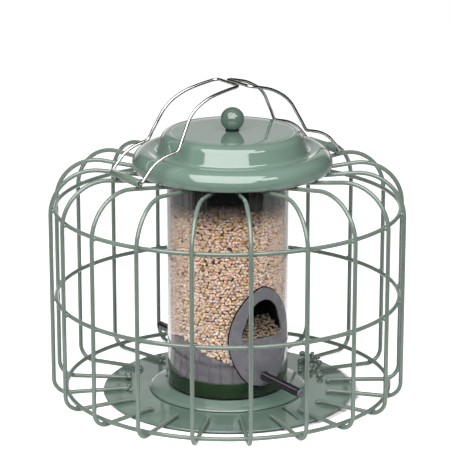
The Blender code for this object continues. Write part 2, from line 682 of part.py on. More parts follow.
def bail_points(side, bar_x):
    """One bail from end to end, about its pivot; side is -1 at the left and +1 at the right."""
    clear_of_bar = bar_x + BAR_BEND_R + BAIL_WIRE_D
    arm = [(PIVOT_X * x, BAIL_RISE * z) for x, z in ARM_SHARES if PIVOT_X * x > clear_of_bar]
    arm.append((bar_x, arm_height(bar_x)))
    top = arm[-1][1]
    kink = KINK_SHARE * BAIL_RISE
    half = []
    for reach, height in arm:
        drawn_in = max(0.0, (height - kink) / (top - kink))
        half.append(Vector((side * (reach - PIVOT_X), ARM_Y + (BAR_Y - ARM_Y) * drawn_in, height)))
    start = Vector((0, PIVOT_TUBE_L / 2 - PIVOT_INSERT, 0))
    mirror = Vector((half[-1].x, -half[-1].y, half[-1].z))
    half = ([start] + rounded_corner(start, half[0], half[1], PIVOT_BEND_R, 4) + half[1:-1]
            + rounded_corner(half[-2], half[-1], mirror, BAR_BEND_R, 4))
    return half + [Vector((point.x, -point.y, point.z)) for point in reversed(half)]


def build_bails(enamel, steel):
    bore = BAIL_WIRE_D / 2 + PIVOT_CLEARANCE
    end = PIVOT_TUBE_L / 2
    for name, side, bar_x in (("left", -1, LEFT_BAR_X), ("right", 1, RIGHT_BAR_X)):
        tube = turned(f"{name}_pivot_tube", [(bore, -end), (PIVOT_TUBE_D / 2, -end),
                                             (PIVOT_TUBE_D / 2, end), (bore, end)],
                      SMALL_STEPS, enamel, axis="Y")
        shade(tube)
        tube.location = (side * PIVOT_X, 0, PIVOT_Z)
        points = [tuple(point) for point in bail_points(side, bar_x)]
        bail = add_object(f"{name}_bail", wire_curve(f"{name}_bail", points, BAIL_WIRE_D), steel)
        bail.location = (side * PIVOT_X, 0, PIVOT_Z)


def build():
    clear_scene()
    enamel = new_material("green_enamel", (0.19, 0.29, 0.235), 0.3)
    steel = new_material("bright_steel", (0.62, 0.62, 0.61), 0.22, metallic=1.0)
    clear_plastic = new_material("clear_plastic", (0.93, 0.95, 0.95), 0.05, transmission=1.0)
    grey_plastic = new_material("grey_plastic", (0.15, 0.145, 0.16), 0.45)
    dark_plastic = new_material("dark_plastic", (0.045, 0.04, 0.05), 0.35)
    green_plastic = new_material("green_plastic", (0.015, 0.05, 0.01), 0.4)
    seed_mix = new_material("seed_mix", (0.5, 0.28, 0.15), 0.8)
    build_cage(enamel)
    build_tray(enamel)
    build_base(enamel, green_plastic, steel)
    build_tube(clear_plastic)
    build_divider(grey_plastic)
    build_seed(seed_mix)
    build_collar(grey_plastic)
    build_ports(grey_plastic, dark_plastic)
    build_lid(enamel, steel, dark_plastic)
    build_bails(enamel, steel)


build()
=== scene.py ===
import random
from math import atan2, cos, degrees, hypot, pi, radians, sin, tan, tau

import bpy
import numpy as np
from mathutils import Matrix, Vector


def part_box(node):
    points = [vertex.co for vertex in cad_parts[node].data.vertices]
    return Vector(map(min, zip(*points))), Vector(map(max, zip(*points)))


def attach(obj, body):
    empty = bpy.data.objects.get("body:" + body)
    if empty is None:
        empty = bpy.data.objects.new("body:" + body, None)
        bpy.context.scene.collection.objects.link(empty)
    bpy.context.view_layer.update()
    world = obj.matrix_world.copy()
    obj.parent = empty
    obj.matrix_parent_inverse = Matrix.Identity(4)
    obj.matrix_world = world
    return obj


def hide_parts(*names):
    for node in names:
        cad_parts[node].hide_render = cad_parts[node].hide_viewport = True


# Seed bird feeder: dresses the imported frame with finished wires, sheet metal, plastic and seed
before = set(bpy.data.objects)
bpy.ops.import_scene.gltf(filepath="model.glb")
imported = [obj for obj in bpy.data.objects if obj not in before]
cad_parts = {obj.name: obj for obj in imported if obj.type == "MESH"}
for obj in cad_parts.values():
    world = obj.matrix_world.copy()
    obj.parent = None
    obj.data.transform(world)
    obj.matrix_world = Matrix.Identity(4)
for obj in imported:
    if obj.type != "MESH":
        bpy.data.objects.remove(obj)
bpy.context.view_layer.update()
scene = bpy.context.scene
scene.view_settings.view_transform = "Standard"
dice = random.Random(12)


# Camera, at the photograph's distance and angle
shot = {"place": (-0.9360, -1.3834, 0.6110), "tilt": 73.974, "turn": -34.011, "lens": 185.785}
bpy.ops.object.camera_add(location=shot["place"],
                          rotation=(radians(shot["tilt"]), 0, radians(shot["turn"])))
camera = bpy.context.object
camera.data.lens = shot["lens"]
camera.data.sensor_width = 36
camera.data.clip_end = 20
scene.camera = camera
print("camera placed")


# Small helpers

mergeReach = 0.00001   # vertices nearer than this are one


def hexColour(code):
    parts = [int(code[i:i + 2], 16) / 255 for i in (1, 3, 5)]
    return (*[p / 12.92 if p <= 0.04045 else ((p + 0.055) / 1.055) ** 2.4 for p in parts], 1)


def fillIn(tree, node, inputs):
    # a node among the values is linked by its first output, a socket as it is
    for key, value in inputs.items():
        if isinstance(value, bpy.types.Node):
            value = value.outputs[0]
        if isinstance(value, bpy.types.NodeSocket):
            tree.links.new(value, node.inputs[key])
        else:
            node.inputs[key].default_value = value


def addNode(tree, kind, inputs=None, tones=(), **settings):
    node = tree.nodes.new("ShaderNode" + kind)
    for key, value in settings.items():
        setattr(node, key, value)
    for index, (position, code) in enumerate(tones):
        stop = node.color_ramp.elements[index]
        stop.position, stop.color = position, hexColour(code)
    fillIn(tree, node, inputs or {})
    return node


def newMaterial(name):
    material = bpy.data.materials.new(name)
    material.use_nodes = True
    tree = material.node_tree
    return material, tree, tree.nodes["Principled BSDF"], addNode(tree, "TexCoord").outputs["Object"]


def startPiece():
    if bpy.context.mode != "OBJECT":
        bpy.ops.object.mode_set(mode="OBJECT")
    bpy.ops.object.select_all(action="DESELECT")


def newShape(add, **settings):
    startPiece()
    add(**settings)
    return bpy.context.object


def only(piece):
    startPiece()
    piece.select_set(True)
    bpy.context.view_layer.objects.active = piece


def editAll(piece):
    only(piece)
    bpy.ops.object.mode_set(mode="EDIT")
    bpy.ops.mesh.select_all(action="SELECT")


def pick(piece, kind, test):
    # selects what passes the test: vertices by place, edges by ends, faces by middle
    only(piece)
    bpy.ops.object.mode_set(mode="EDIT")
    bpy.ops.mesh.select_mode(type=kind)
    bpy.ops.mesh.select_all(action="DESELECT")
    bpy.ops.object.mode_set(mode="OBJECT")
    mesh = piece.data
    if kind == "VERT":
        for vert in mesh.vertices:
            vert.select = test(vert.co)
    elif kind == "EDGE":
        for edge in mesh.edges:
            a, b = (mesh.vertices[i].co for i in edge.vertices)
            edge.select = test(a, b)
    else:
        for face in mesh.polygons:
            face.select = test(face.center)
    bpy.ops.object.mode_set(mode="EDIT")


def push(x, y, z):
    bpy.ops.mesh.extrude_region_move(TRANSFORM_OT_translate={"value": (x, y, z)})


def drawIn(share):
    # the selection comes nearer to the upright axis
    bpy.ops.transform.resize(value=(share, share, 1), center_override=(0, 0, 0))


def closeUp(piece):
    bpy.ops.mesh.select_all(action="SELECT")
    bpy.ops.mesh.remove_doubles(threshold=mergeReach)
    bpy.ops.mesh.normals_make_consistent(inside=False)
    only(piece)


def modify(piece, kind, **settings):
    only(piece)
    modifier = piece.modifiers.new(kind.title(), kind)
    for key, value in settings.items():
        setattr(modifier, key, value)
    bpy.ops.object.modifier_apply(modifier=modifier.name)


def cutOut(piece, cutter):
    modify(piece, "BOOLEAN", operation="DIFFERENCE", object=cutter, solver="EXACT")
    bpy.data.objects.remove(cutter)


def finish(piece, name, material, body="feeder", sharp=40):
    only(piece)
    bpy.ops.object.transform_apply()
    bpy.ops.object.shade_smooth_by_angle(angle=radians(sharp))
    piece.name = piece.data.name = name
    piece.data.materials.clear()
    piece.data.materials.append(material)
    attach(piece, body)


def standFor(node, piece, material, body="feeder", sharp=40, name=None):
    # the piece takes the place of a solid: upper_hoop becomes upperHoop
    first, *others = node.split("_")
    finish(piece, name or first + "".join(word.title() for word in others), material, body, sharp)
    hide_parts(node)


def paintFaces(piece, material, test):
    # a second finish on the faces that pass the test
    piece.data.materials.append(material)
    pick(piece, "FACE", test)
    piece.active_material_index = len(piece.data.materials) - 1
    bpy.ops.object.material_slot_assign()
    bpy.ops.mesh.select_mode(type="VERT")
    startPiece()


def copyOf(piece):
    only(piece)
    bpy.ops.object.duplicate()
    return bpy.context.object


def frameCopy(node):
    # a free copy of a solid, merged and left in edit mode with all of it selected
    piece = copyOf(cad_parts[node])
    for key in list(piece.keys()):
        del piece[key]
    piece.parent = None
    editAll(piece)
    bpy.ops.mesh.remove_doubles(threshold=mergeReach)
    return piece


def joined(pieces):
    startPiece()
    for piece in pieces:
        piece.select_set(True)
    bpy.context.view_layer.objects.active = pieces[0]
    bpy.ops.object.join()
    return bpy.context.object


def turnShape(outline, segments, closed=True):
    # a ring of vertices is extruded and scaled from one (radius, height) to the next
    radius, height = outline[0]
    piece = newShape(bpy.ops.mesh.primitive_circle_add, vertices=segments, radius=radius,
                     location=(0, 0, height))
    editAll(piece)
    for nextRadius, nextHeight in list(outline[1:]) + ([outline[0]] if closed else []):
        push(0, 0, nextHeight - height)
        bpy.ops.transform.resize(value=(nextRadius / radius, nextRadius / radius, 1))
        radius, height = nextRadius, nextHeight
    closeUp(piece)
    bpy.ops.object.transform_apply()
    return piece


def turnSleeve(bore, outer, length, edge, segments):
    return turnShape([(bore, 0), (outer - edge, 0), (outer, edge), (outer, length - edge),
                      (outer - edge, length), (bore, length)], segments)


def arcPoints(middle, radius, start, end, steps):
    angles = [radians(start + (end - start) * i / steps) for i in range(steps + 1)]
    return [(middle[0] + radius * cos(angle), middle[1] + radius * sin(angle)) for angle in angles]


def around(turn, radius, height):
    return radius * cos(turn), radius * sin(turn), height


def curvePoint(a, b, c, d, t):
    # a place between b and c on the smooth curve through four points
    return 0.5 * (2 * b + (c - a) * t + (2 * a - 5 * b + 4 * c - d) * t * t
                  + (3 * b - a - 3 * c + d) * t ** 3)


def smoothLoop(points, count):
    # even points along a smooth closed curve through the given ones
    given = np.array(points, float)
    fine = []
    for i in range(len(given)):
        four = [given[(i + k - 1) % len(given)] for k in range(4)]
        fine += [curvePoint(*four, t) for t in np.linspace(0, 1, 12, endpoint=False)]
    fine = np.array(fine + [fine[0]])
    along = np.concatenate([[0], np.cumsum(np.linalg.norm(np.diff(fine, axis=0), axis=1))])
    even = np.linspace(0, along[-1], count, endpoint=False)
    return np.stack([np.interp(even, along, fine[:, i]) for i in range(2)], 1)


# Finishes

def noise(scale, detail):
    return "TexNoise", {"Scale": scale, "Detail": detail}


def makeFinish(name, cloud, relief, tones, gloss, bump, others):
    # one texture gives tone and gloss, another one, or the same, the relief
    material, tree, shader, place = newMaterial(name)
    cloud = addNode(tree, cloud[0], {"Vector": place, **cloud[1]})
    if relief:
        relief = addNode(tree, relief[0], {"Vector": place, **relief[1]})
    fillIn(tree, shader, {
        "Base Color": addNode(tree, "ValToRGB", {"Fac": cloud}, tones),
        "Roughness": addNode(tree, "MapRange", {"Value": cloud, "To Min": gloss[0], "To Max": gloss[1]}),
        "Normal": addNode(tree, "Bump", {"Height": relief or cloud,
                                         "Strength": bump[0], "Distance": bump[1]}),
        **others})
    return material


def makePowderCoat(name, dark, light, roughness, peel, skin):
    # Polyester powder coat baked on steel: level sage grey-green under a clear, glassy skin, with
    # faint orange peel about 1.5 mm across that makes the reflections tremble
    return makeFinish(name, noise(45, 3), noise(650, 2),
                      ((0.3, dark), (0.7, light)), (roughness - 0.03, roughness + 0.03), (peel, 0.0004),
                      {"IOR": 1.5, "Coat Weight": skin, "Coat Roughness": roughness / 3, "Coat IOR": 1.5})


def makeBrightSteel():
    # Zinc-plated steel wire, drawn: bright, with fine draw marks that blur its reflections a little
    return makeFinish("zincPlatedSteelWire", noise(420, 4), None,
                      ((0.3, "#C2C1BE"), (0.75, "#E2E1DE")), (0.1, 0.2), (0.06, 0.0002), {"Metallic": 1})


def makePlastic(name, dark, light, roughness, relief=0.15):
    # Injection-moulded polypropylene: even colour, a faint spark-eroded grain, soft highlights
    return makeFinish(name, noise(90, 4), noise(1400, 2),
                      ((0.3, dark), (0.7, light)), (roughness - 0.05, roughness + 0.05), (relief, 0.0003),
                      {"IOR": 1.49})


def makeShadeBlack():
    # Painted shade: a near-black matt with open pores about 0.8 mm across and no gloss, for the dark inside
    # of the collar and the port hoods, the shadow gap under the port plates and the shadow line at the cup's
    # foot
    return makeFinish("mattPaintedShadeBlack", ("TexVoronoi", {"Scale": 1250}), None,
                      ((0.1, "#050505"), (0.6, "#0D0C0C")), (0.9, 1), (0.3, 0.0003),
                      {"Specular IOR Level": 0.1})


def makeClearPlastic():
    # Extruded polycarbonate tube: clear through its 2 mm wall, with a smoky cast that gathers where
    # the wall is seen along its length; shadow rays pass, so the seed inside is lit
    material, tree, shader, place = newMaterial("clearPolycarbonate")
    drawn = addNode(tree, "TexNoise", {"Vector": place, "Scale": 30, "Detail": 2})
    fillIn(tree, shader, {
        "Normal": addNode(tree, "Bump", {"Height": drawn, "Strength": 0.05, "Distance": 0.0005}),
        "Base Color": hexColour("#F3F1F1"), "Roughness": 0.03, "IOR": 1.49, "Transmission Weight": 1})
    through = addNode(tree, "BsdfTransparent", {"Color": hexColour("#F6F5F8")})
    shadow = addNode(tree, "LightPath").outputs["Is Shadow Ray"]
    fillIn(tree, tree.nodes["Material Output"], {
        "Surface": addNode(tree, "MixShader", {0: shadow, 1: shader, 2: through}),
        "Volume": addNode(tree, "VolumeAbsorption", {"Color": (0.35, 0.27, 0.25, 1), "Density": 34})})
    return material


def makeSeedHusk():
    # Hulled millet and oats: each grain has its own tone, dry skin with a dull sheen
    material, tree, shader, place = newMaterial("driedSeed")
    own = addNode(tree, "Attribute", attribute_name="grainTone")
    skin = addNode(tree, "TexNoise", {"Vector": place, "Scale": 900, "Detail": 3})
    shade = addNode(tree, "MapRange", {"Value": skin, "To Min": 0.8, "To Max": 1.15})
    fillIn(tree, shader, {
        "Base Color": addNode(tree, "VectorMath", {0: own, "Scale": shade}, operation="SCALE"),
        "Normal": addNode(tree, "Bump", {"Height": skin, "Strength": 0.3, "Distance": 0.0004}),
        "Roughness": 0.55, "IOR": 1.45})
    return material


lidCoat = makePowderCoat("sagePowderCoatSheet", "#697F73", "#70877B", 0.09, 0.04, 1)
wireCoat = makePowderCoat("sagePowderCoatWire", "#6A796E", "#738277", 0.14, 0.08, 0.8)
# the sheet's sage coat made darker for the knob: painted shade
knobShadedCoat = makePowderCoat("sagePowderCoatKnobPaintedShade", "#56685E", "#5C6F65", 0.06, 0.04, 1)
# a dark copy of the sheet's coat: painted shadow lines under the tray's rim and round the disc's foot
paintedShadeCoat = makePowderCoat("sagePowderCoatPaintedShade", "#2F3833", "#37413B", 0.45, 0.04, 0)
steelWire = makeBrightSteel()
portPlastic = makePlastic("purpleGreyPolypropylene", "#66656B", "#737278", 0.27)
collarPlastic = makePlastic("slateGreyPolypropylene", "#454743", "#53554F", 0.4)
darkPlastic = makePlastic("charcoalPolypropylene", "#1E1C21", "#29262C", 0.17, 0.08)
cupPlastic = makePlastic("bottleGreenPolypropylene", "#122B0D", "#1A3914", 0.22)
blackPlastic = makePlastic("blackPolypropylene", "#0A0A0A", "#121212", 0.6)
# near-black for painted shade inside the collar and hoods, under the port plates and at the cup's foot
shadeBlack = makeShadeBlack()
clearPlastic = makeClearPlastic()
seedHusk = makeSeedHusk()
print("finishes made")


# Wire cage: every upright is one wire, bent at its foot and shoulder; a lump is (radius, turn,
# height, size), where the tacks on the tray ran together

cage = {
    "wire": 0.0016, "sides": 16, "radius": 0.1323, "count": 20, "firstTurn": -81,
    "footEnd": 0.077, "footSlope": 1.8, "footBend": 0.0115, "footHeight": 0.003838, "footSteps": 12,
    "shoulderEnd": 0.056, "shoulderSlope": 7.5, "shoulderBend": 0.033, "topHeight": 0.176638,
    "shoulderSteps": 24, "hoops": ("upper_hoop", "middle_hoop", "bottom_hoop"),
    "bead": (0.0015, 0.0022, 0.002), "beadSpread": (0.88, 1.12),
    "tack": (0.0024, 0.0022, 0.0012), "tackInset": 0.0006, "tackHeight": 0.0046,
    "lumpShares": (1, 0.8, 0.75), "lumps": (
        (0.064, -6, 0.0052, 0.0022), (0.0665, -2, 0.0058, 0.0019), (0.0705, -9, 0.0062, 0.0026),
        (0.0735, -20, 0.0058, 0.0026), (0.0745, -14, 0.005, 0.0021), (0.0765, -3, 0.006, 0.0028),
        (0.0795, 4, 0.0066, 0.0031), (0.0815, -1, 0.0082, 0.0024), (0.0835, 6, 0.0054, 0.0024),
        (0.086, 8, 0.0068, 0.0031), (0.0885, 3, 0.008, 0.0029), (0.09, 10, 0.0056, 0.0026),
        (0.083, 11, 0.0092, 0.0026), (0.0805, 7, 0.0104, 0.0023), (0.0865, 0, 0.0052, 0.003),
        (0.0855, 5, 0.011, 0.0021), (0.077, 97, 0.0058, 0.0025), (0.0745, 101, 0.005, 0.002),
        (0.079, 132, 0.0058, 0.0027), (0.0765, 137, 0.0066, 0.0022), (0.08, 129, 0.005, 0.0022),
        (0.0765, 152, 0.005, 0.0022), (0.0745, 156, 0.0048, 0.0018), (0.075, 148, 0.0048, 0.0017))}
footMiddle = Vector((cage["radius"] - cage["footBend"], 0, cage["footHeight"] + cage["footBend"]))
uprightTurns = [cage["firstTurn"] + index * 360 / cage["count"] for index in range(cage["count"])]


def buildUprights():
    foot, shoulder = cage["footBend"], cage["shoulderBend"]
    slope, fall = radians(cage["footSlope"]), radians(cage["shoulderSlope"])
    topMiddle = Vector((cage["radius"] - shoulder, 0, cage["topHeight"] - shoulder))
    legStart = footMiddle + Vector((-foot * sin(slope), 0, -foot * cos(slope)))
    run = legStart.x - cage["footEnd"]
    wire = newShape(bpy.ops.mesh.primitive_circle_add, vertices=cage["sides"], radius=cage["wire"],
                    fill_type="NGON", location=(cage["footEnd"], 0, legStart.z + run * tan(slope)),
                    rotation=(0, pi / 2 + slope, 0))
    bpy.ops.object.transform_apply()
    editAll(wire)
    push(run, 0, -run * tan(slope))
    bpy.ops.mesh.spin(steps=cage["footSteps"], angle=pi / 2 + slope, center=footMiddle, axis=(0, 1, 0))
    push(0, 0, topMiddle.z - footMiddle.z)
    bpy.ops.mesh.spin(steps=cage["shoulderSteps"], angle=pi / 2 + fall, center=topMiddle, axis=(0, 1, 0))
    run = topMiddle.x - shoulder * sin(fall) - cage["shoulderEnd"]
    push(-run, 0, -run * tan(fall))
    closeUp(wire)
    for number, turn in enumerate(uprightTurns, 1):
        twin = copyOf(wire)
        twin.rotation_euler.z = radians(turn)
        standFor(f"upright_wire_{number:02d}", twin, wireCoat, sharp=50,
                 name=f"uprightWire_{number:02d}")
    bpy.data.objects.remove(wire)


def hoopLine(node):
    # radius and height of a hoop's centre line
    low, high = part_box(node)
    return (high.x - low.x) / 2 - cage["wire"], (low.z + high.z) / 2


def buildHoops():
    for node, segments in (*((hoop, 144) for hoop in cage["hoops"]), ("top_ring", 96)):
        radius, height = hoopLine(node)
        hoop = newShape(bpy.ops.mesh.primitive_torus_add, major_segments=segments, major_radius=radius,
                        minor_segments=cage["sides"], minor_radius=cage["wire"], location=(0, 0, height))
        standFor(node, hoop, wireCoat)


def weldBead(radius, turn, height, size):
    angle, swell = radians(turn), dice.uniform(*cage["beadSpread"])
    bead = newShape(bpy.ops.mesh.primitive_ico_sphere_add, subdivisions=2, radius=1,
                    location=around(angle, radius, height), rotation=(0, 0, angle),
                    scale=[length * swell for length in size])
    bpy.ops.object.transform_apply()
    return bead


def buildWelds():
    # a bead of fused wire at each crossing, under the coat
    for node in cage["hoops"]:
        radius, height = hoopLine(node)
        hoop, upright = Vector((radius, 0, height)), Vector((cage["radius"], 0, height))
        if hoop.z < footMiddle.z:
            upright = footMiddle + (hoop - footMiddle).normalized() * cage["footBend"]
        spot = (hoop + upright) / 2
        beads = [weldBead(spot.x, turn, spot.z, cage["bead"]) for turn in uprightTurns]
        finish(joined(beads), node.split("_")[0] + "HoopWelds", wireCoat, sharp=180)


def buildFootWelds():
    # every leg is tacked to the tray
    beads = [weldBead(cage["footEnd"] + cage["tackInset"], turn, cage["tackHeight"], cage["tack"])
             for turn in uprightTurns]
    beads += [weldBead(radius, turn, height, [size * share for share in cage["lumpShares"]])
              for radius, turn, height, size in cage["lumps"]]
    finish(joined(beads), "footWelds", wireCoat, sharp=180)


buildUprights()
buildHoops()
buildWelds()
buildFootWelds()
print("cage bent and welded")


# Lid: one pressed sheet with a flat crown, a ledge and a rolled brim; its crease is (out, down)

screwHole = 0.0023
lid = {
    "offset": (0.0028, -0.0019), "seat": 0.17579, "sheet": 0.0012, "height": 0.0281, "ledge": 0.0146,
    "washerEdge": 0.0002,
    "crownRings": (screwHole, 0.0036, 0.012, 0.024, 0.036), "edge": 0.0004, "brim": 0.0745,
    "brimRound": 0.01, "backTurn": 12, "rim": 0.0728, "rimSwell": 0.0003, "rimHeight": 0.002,
    "cap": 0.0536, "capRound": 0.007, "wallTilt": 17, "fillet": 0.0035, "moat": 0.0131,
    "crease": (0.0009, 0.00028), "creaseShares": ((2.6, 0), (1.6, 1 / 3), (1, 1), (0.5, 1 / 3))}


def buildLid():
    top, tilt, rounding, fillet = lid["height"], lid["wallTilt"], lid["capRound"], lid["fillet"]
    crown = lid["cap"] - rounding
    width, depth = lid["crease"]
    footR = (crown + (rounding + fillet) / cos(radians(tilt))
             + (top - rounding - lid["moat"] - fillet) * tan(radians(tilt)))
    outline = [(radius, top) for radius in lid["crownRings"]]
    outline += [(crown - out * width, top - down * depth) for out, down in lid["creaseShares"]]
    outline += arcPoints((crown, top - rounding), rounding, 88, tilt, 12)
    outline += arcPoints((footR, lid["moat"] + fillet), fillet, 180 + tilt, 270, 8)
    outline += arcPoints((lid["brim"] - lid["brimRound"], lid["ledge"] - lid["brimRound"]), lid["brimRound"],
                         90 + lid["backTurn"], 0, 18)
    outline += [((lid["brim"] + lid["rim"]) / 2 + lid["rimSwell"], lid["rimHeight"]), (lid["rim"], 0)]
    shell = turnShape([(r, z + lid["seat"]) for r, z in outline], 192, closed=False)
    modify(shell, "SOLIDIFY", thickness=lid["sheet"], offset=-1)
    modify(shell, "BEVEL", width=lid["edge"], segments=2, limit_method="ANGLE", angle_limit=radians(60))
    shell.location = (*lid["offset"], 0)
    standFor("lid_shell", shell, lidCoat, body="lid")


def buildKnob():
    # a ball cut flat where it sits on its black washer
    low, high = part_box("lid_knob")
    x, y, radius = (low.x + high.x) / 2, (low.y + high.y) / 2, (high.x - low.x) / 2
    ball = newShape(bpy.ops.mesh.primitive_uv_sphere_add, segments=64, ring_count=40, radius=radius,
                    location=(x, y, high.z - radius))
    bpy.ops.object.transform_apply()
    editAll(ball)
    bpy.ops.mesh.bisect(plane_co=(x, y, low.z), plane_no=(0, 0, 1), clear_inner=True, use_fill=True)
    standFor("lid_knob", ball, knobShadedCoat, body="lid", sharp=50)
    low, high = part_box("knob_washer")
    washer = turnSleeve(screwHole, (high.x - low.x) / 2, high.z - low.z, lid["washerEdge"], 48)
    washer.location = (x, y, low.z)
    standFor("knob_washer", washer, blackPlastic, body="lid", sharp=60)


buildLid()
buildKnob()
print("lid and knob pressed")


# Tray and base disc: their floors are (radius, drop), a curl or an edge is (inset, height)

tray = {
    "radius": 0.09475, "top": 0.00275, "floor": 0.00385, "sheet": 0.0012, "lip": 0.0012,
    "lipRound": 0.0008,
    "floorPoints": ((screwHole, 0), (0.02, 0), (0.04, 0), (0.059, 0), (0.0605, 0.00002),
                    (0.075, 0.0005), (0.088, 0.0009)),
    "curl": ((0.0002, 0.00155), (0.0014, 0.0003), (0.0016, 0), (0.0022, 0), (0.0022, 0.00155)),
    "shadeInset": 0.0025, "shadeHeight": 0.0012,
    "slot": (0.07455, 0.028, 0.0022), "slotTurn": -86, "slotSkew": -12}


def buildTray():
    floor, top, edge = tray["floor"], tray["top"], tray["radius"]
    outline = [(radius, floor - drop) for radius, drop in tray["floorPoints"]] + [(edge - tray["lip"], top)]
    outline += arcPoints((edge - tray["lipRound"], top - tray["lipRound"]), tray["lipRound"], 90, 0, 4)
    outline += [(edge - inset, height) for inset, height in tray["curl"]]
    outline += [(radius, floor - tray["sheet"]) for radius in (tray["floorPoints"][4][0], screwHole)]
    dish = turnShape(outline, 180)
    place, length, width = tray["slot"]
    turn = radians(tray["slotTurn"])
    cutter = newShape(bpy.ops.mesh.primitive_cube_add, size=1, location=around(turn, place, floor),
                      rotation=(0, 0, turn + radians(tray["slotSkew"])), scale=(length, width, 0.01))
    modify(cutter, "BEVEL", width=width * 0.45, segments=3)
    cutOut(dish, cutter)
    standFor("tray", dish, lidCoat, sharp=30)
    # the lowest faces of the rim's curl take the dark coat: a painted shadow line under the tray's edge
    paintFaces(dish, paintedShadeCoat, lambda co: co.z < tray["shadeHeight"]
               and hypot(co.x, co.y) > edge - tray["shadeInset"])


disc = {
    "radius": 0.05975, "seat": 0.00415, "height": 0.0038, "flat": 0.0468, "sheet": 0.0012,
    "edgeRound": 0.0024, "edgeSink": 0.0005, "rings": (screwHole, 0.03, 0.0458),
    "flatPoints": ((0, 0.00005), (0.001, 0.0002)), "edgePoints": ((0.004, 0.0026), (0.0022, 0.0021)),
    "underEdge": (0.0018, 0.0006), "shadeInset": 0.002, "shadeHeight": 0.0003}


def buildDisc():
    seat, top, edge = disc["seat"], disc["seat"] + disc["height"], disc["radius"]
    outline = [(radius, top) for radius in disc["rings"]]
    outline += [(disc["flat"] + out, top - drop) for out, drop in disc["flatPoints"]]
    outline += [(edge - inset, seat + height) for inset, height in disc["edgePoints"]]
    outline += arcPoints((edge - disc["edgeRound"], seat - disc["edgeSink"]), disc["edgeRound"], 75, 12, 6)
    outline += [(edge - disc["sheet"], seat), (edge - disc["underEdge"][0], seat + disc["underEdge"][1]),
                (disc["flat"], top - disc["sheet"]), (screwHole, top - disc["sheet"])]
    plate = turnShape(outline, 144)
    standFor("base_disc", plate, lidCoat, sharp=45)
    # the lowest faces of the edge take the dark coat: a painted shadow line round the disc's foot
    paintFaces(plate, paintedShadeCoat, lambda co: co.z < seat + disc["shadeHeight"]
               and hypot(co.x, co.y) > edge - disc["shadeInset"])


buildTray()
buildDisc()
print("tray and disc pressed")


# Seed tube, collar, divider and cup; the outlines' shares are (up, across)

tube = {"radius": 0.0455, "wall": 0.002, "foot": 0.00825, "top": 0.17336, "fill": 0.0432, "edge": 0.0003}
port = {
    "inner": 0.0458, "outer": 0.0483, "foot": 0.01845, "height": 0.076, "halfWidth": 0.028,
    "sill": 0.05545, "mouthHeight": 0.0299, "mouthHalf": 0.018, "hood": 0.015, "hoodStart": 0.0018,
    "hoodRise": 0.01, "hoodRoom": 0.0026, "hoodShares": (-0.08, 1.08), "wall": 0.0013, "edge": 0.0005,
    "seam": 0.0467, "footReach": 0.0008, "points": 96, "cuts": 7,
    "cutMargin": 0.002, "cutFrom": 0.052, "cutDepth": 0.0205, "cutPoints": 72,
    "plateShares": ((1, 0), (0.974, 0.23), (0.905, 0.485), (0.81, 0.7), (0.715, 0.85),
                    (0.61, 0.95), (0.487, 1), (0.365, 0.96), (0.263, 0.866), (0.185, 0.76),
                    (0.105, 0.62), (0.042, 0.44), (0.0105, 0.23), (0, 0)),
    "mouthShares": ((1, 0), (0.983, 0.19), (0.936, 0.344), (0.843, 0.522), (0.736, 0.667),
                    (0.585, 0.778), (0.435, 0.861), (0.234, 0.975), (0.134, 1), (0.06, 0.97),
                    (0.017, 0.87), (0, 0.72), (0, 0.36), (0, 0))}


def outlineLoop(shares, foot, height, halfWidth, count):
    half = [(halfWidth * w, foot + height * h) for h, w in shares]
    return smoothLoop(half + [(-u, v) for u, v in reversed(half[1:-1])], count)


def mouthLoop(count):
    return outlineLoop(port["mouthShares"], port["sill"], port["mouthHeight"], port["mouthHalf"], count)


def circleOn(points, depth):
    # a ring of vertices put on an outline of (x, z) points
    ring = newShape(bpy.ops.mesh.primitive_circle_add, vertices=len(points), radius=port["mouthHalf"])
    for vert, (x, z) in zip(ring.data.vertices, points):
        vert.co = (x, depth, z)
    return ring


def mouthCutter(side):
    middle, margin = port["sill"] + port["mouthHeight"] / 2, port["cutMargin"]
    across, up = 1 + margin / port["mouthHalf"], 1 + margin * 2 / port["mouthHeight"]
    points = [(x * across, middle + (z - middle) * up) for x, z in mouthLoop(port["cutPoints"])]
    cutter = circleOn(points, side * port["cutFrom"])
    editAll(cutter)
    bpy.ops.mesh.edge_face_add()
    push(0, -side * port["cutDepth"], 0)
    closeUp(cutter)
    return cutter


def buildTube():
    outer, foot, top, edge = (tube[key] for key in ("radius", "foot", "top", "edge"))
    bore = outer - tube["wall"]
    pipe = turnShape([(bore, foot + edge), (bore + edge, foot), (outer - edge, foot), (outer, foot + edge),
                      (outer, top - edge), (outer - edge, top), (bore + edge, top), (bore, top - edge)], 160)
    for side in (-1, 1):
        cutOut(pipe, mouthCutter(side))
    standFor("seed_tube", pipe, clearPlastic, sharp=30)


ribs = {"collar": 44, "collarSides": 5, "divider": 36, "dividerSides": 6, "groove": 0.0012, "within": 0.042}


def grooved(piece, sides, segments, low, high):
    # every last column of a rib's vertices sinks in, between two heights
    pick(piece, "VERT", lambda co: low < co.z < high and hypot(co.x, co.y) > ribs["within"]
         and round(degrees(atan2(co.y, co.x)) / (360 / segments)) % sides == 0)
    drawIn(1 - ribs["groove"] / tube["fill"])
    startPiece()


collar = {
    "seat": 0.17366, "flange": 0.06, "flangeThick": 0.0015, "depth": 0.0205, "wall": 0.0016,
    "edge": 0.0004, "plain": 0.002, "window": (0.03, 0.0015), "windowTurn": -124,
    "cutLength": 0.098, "overrun": 0.003, "liner": (0.0004, 0.0014), "shadeSleeveDrop": 0.0002,
    "shadeSleeveFoot": 0.158}


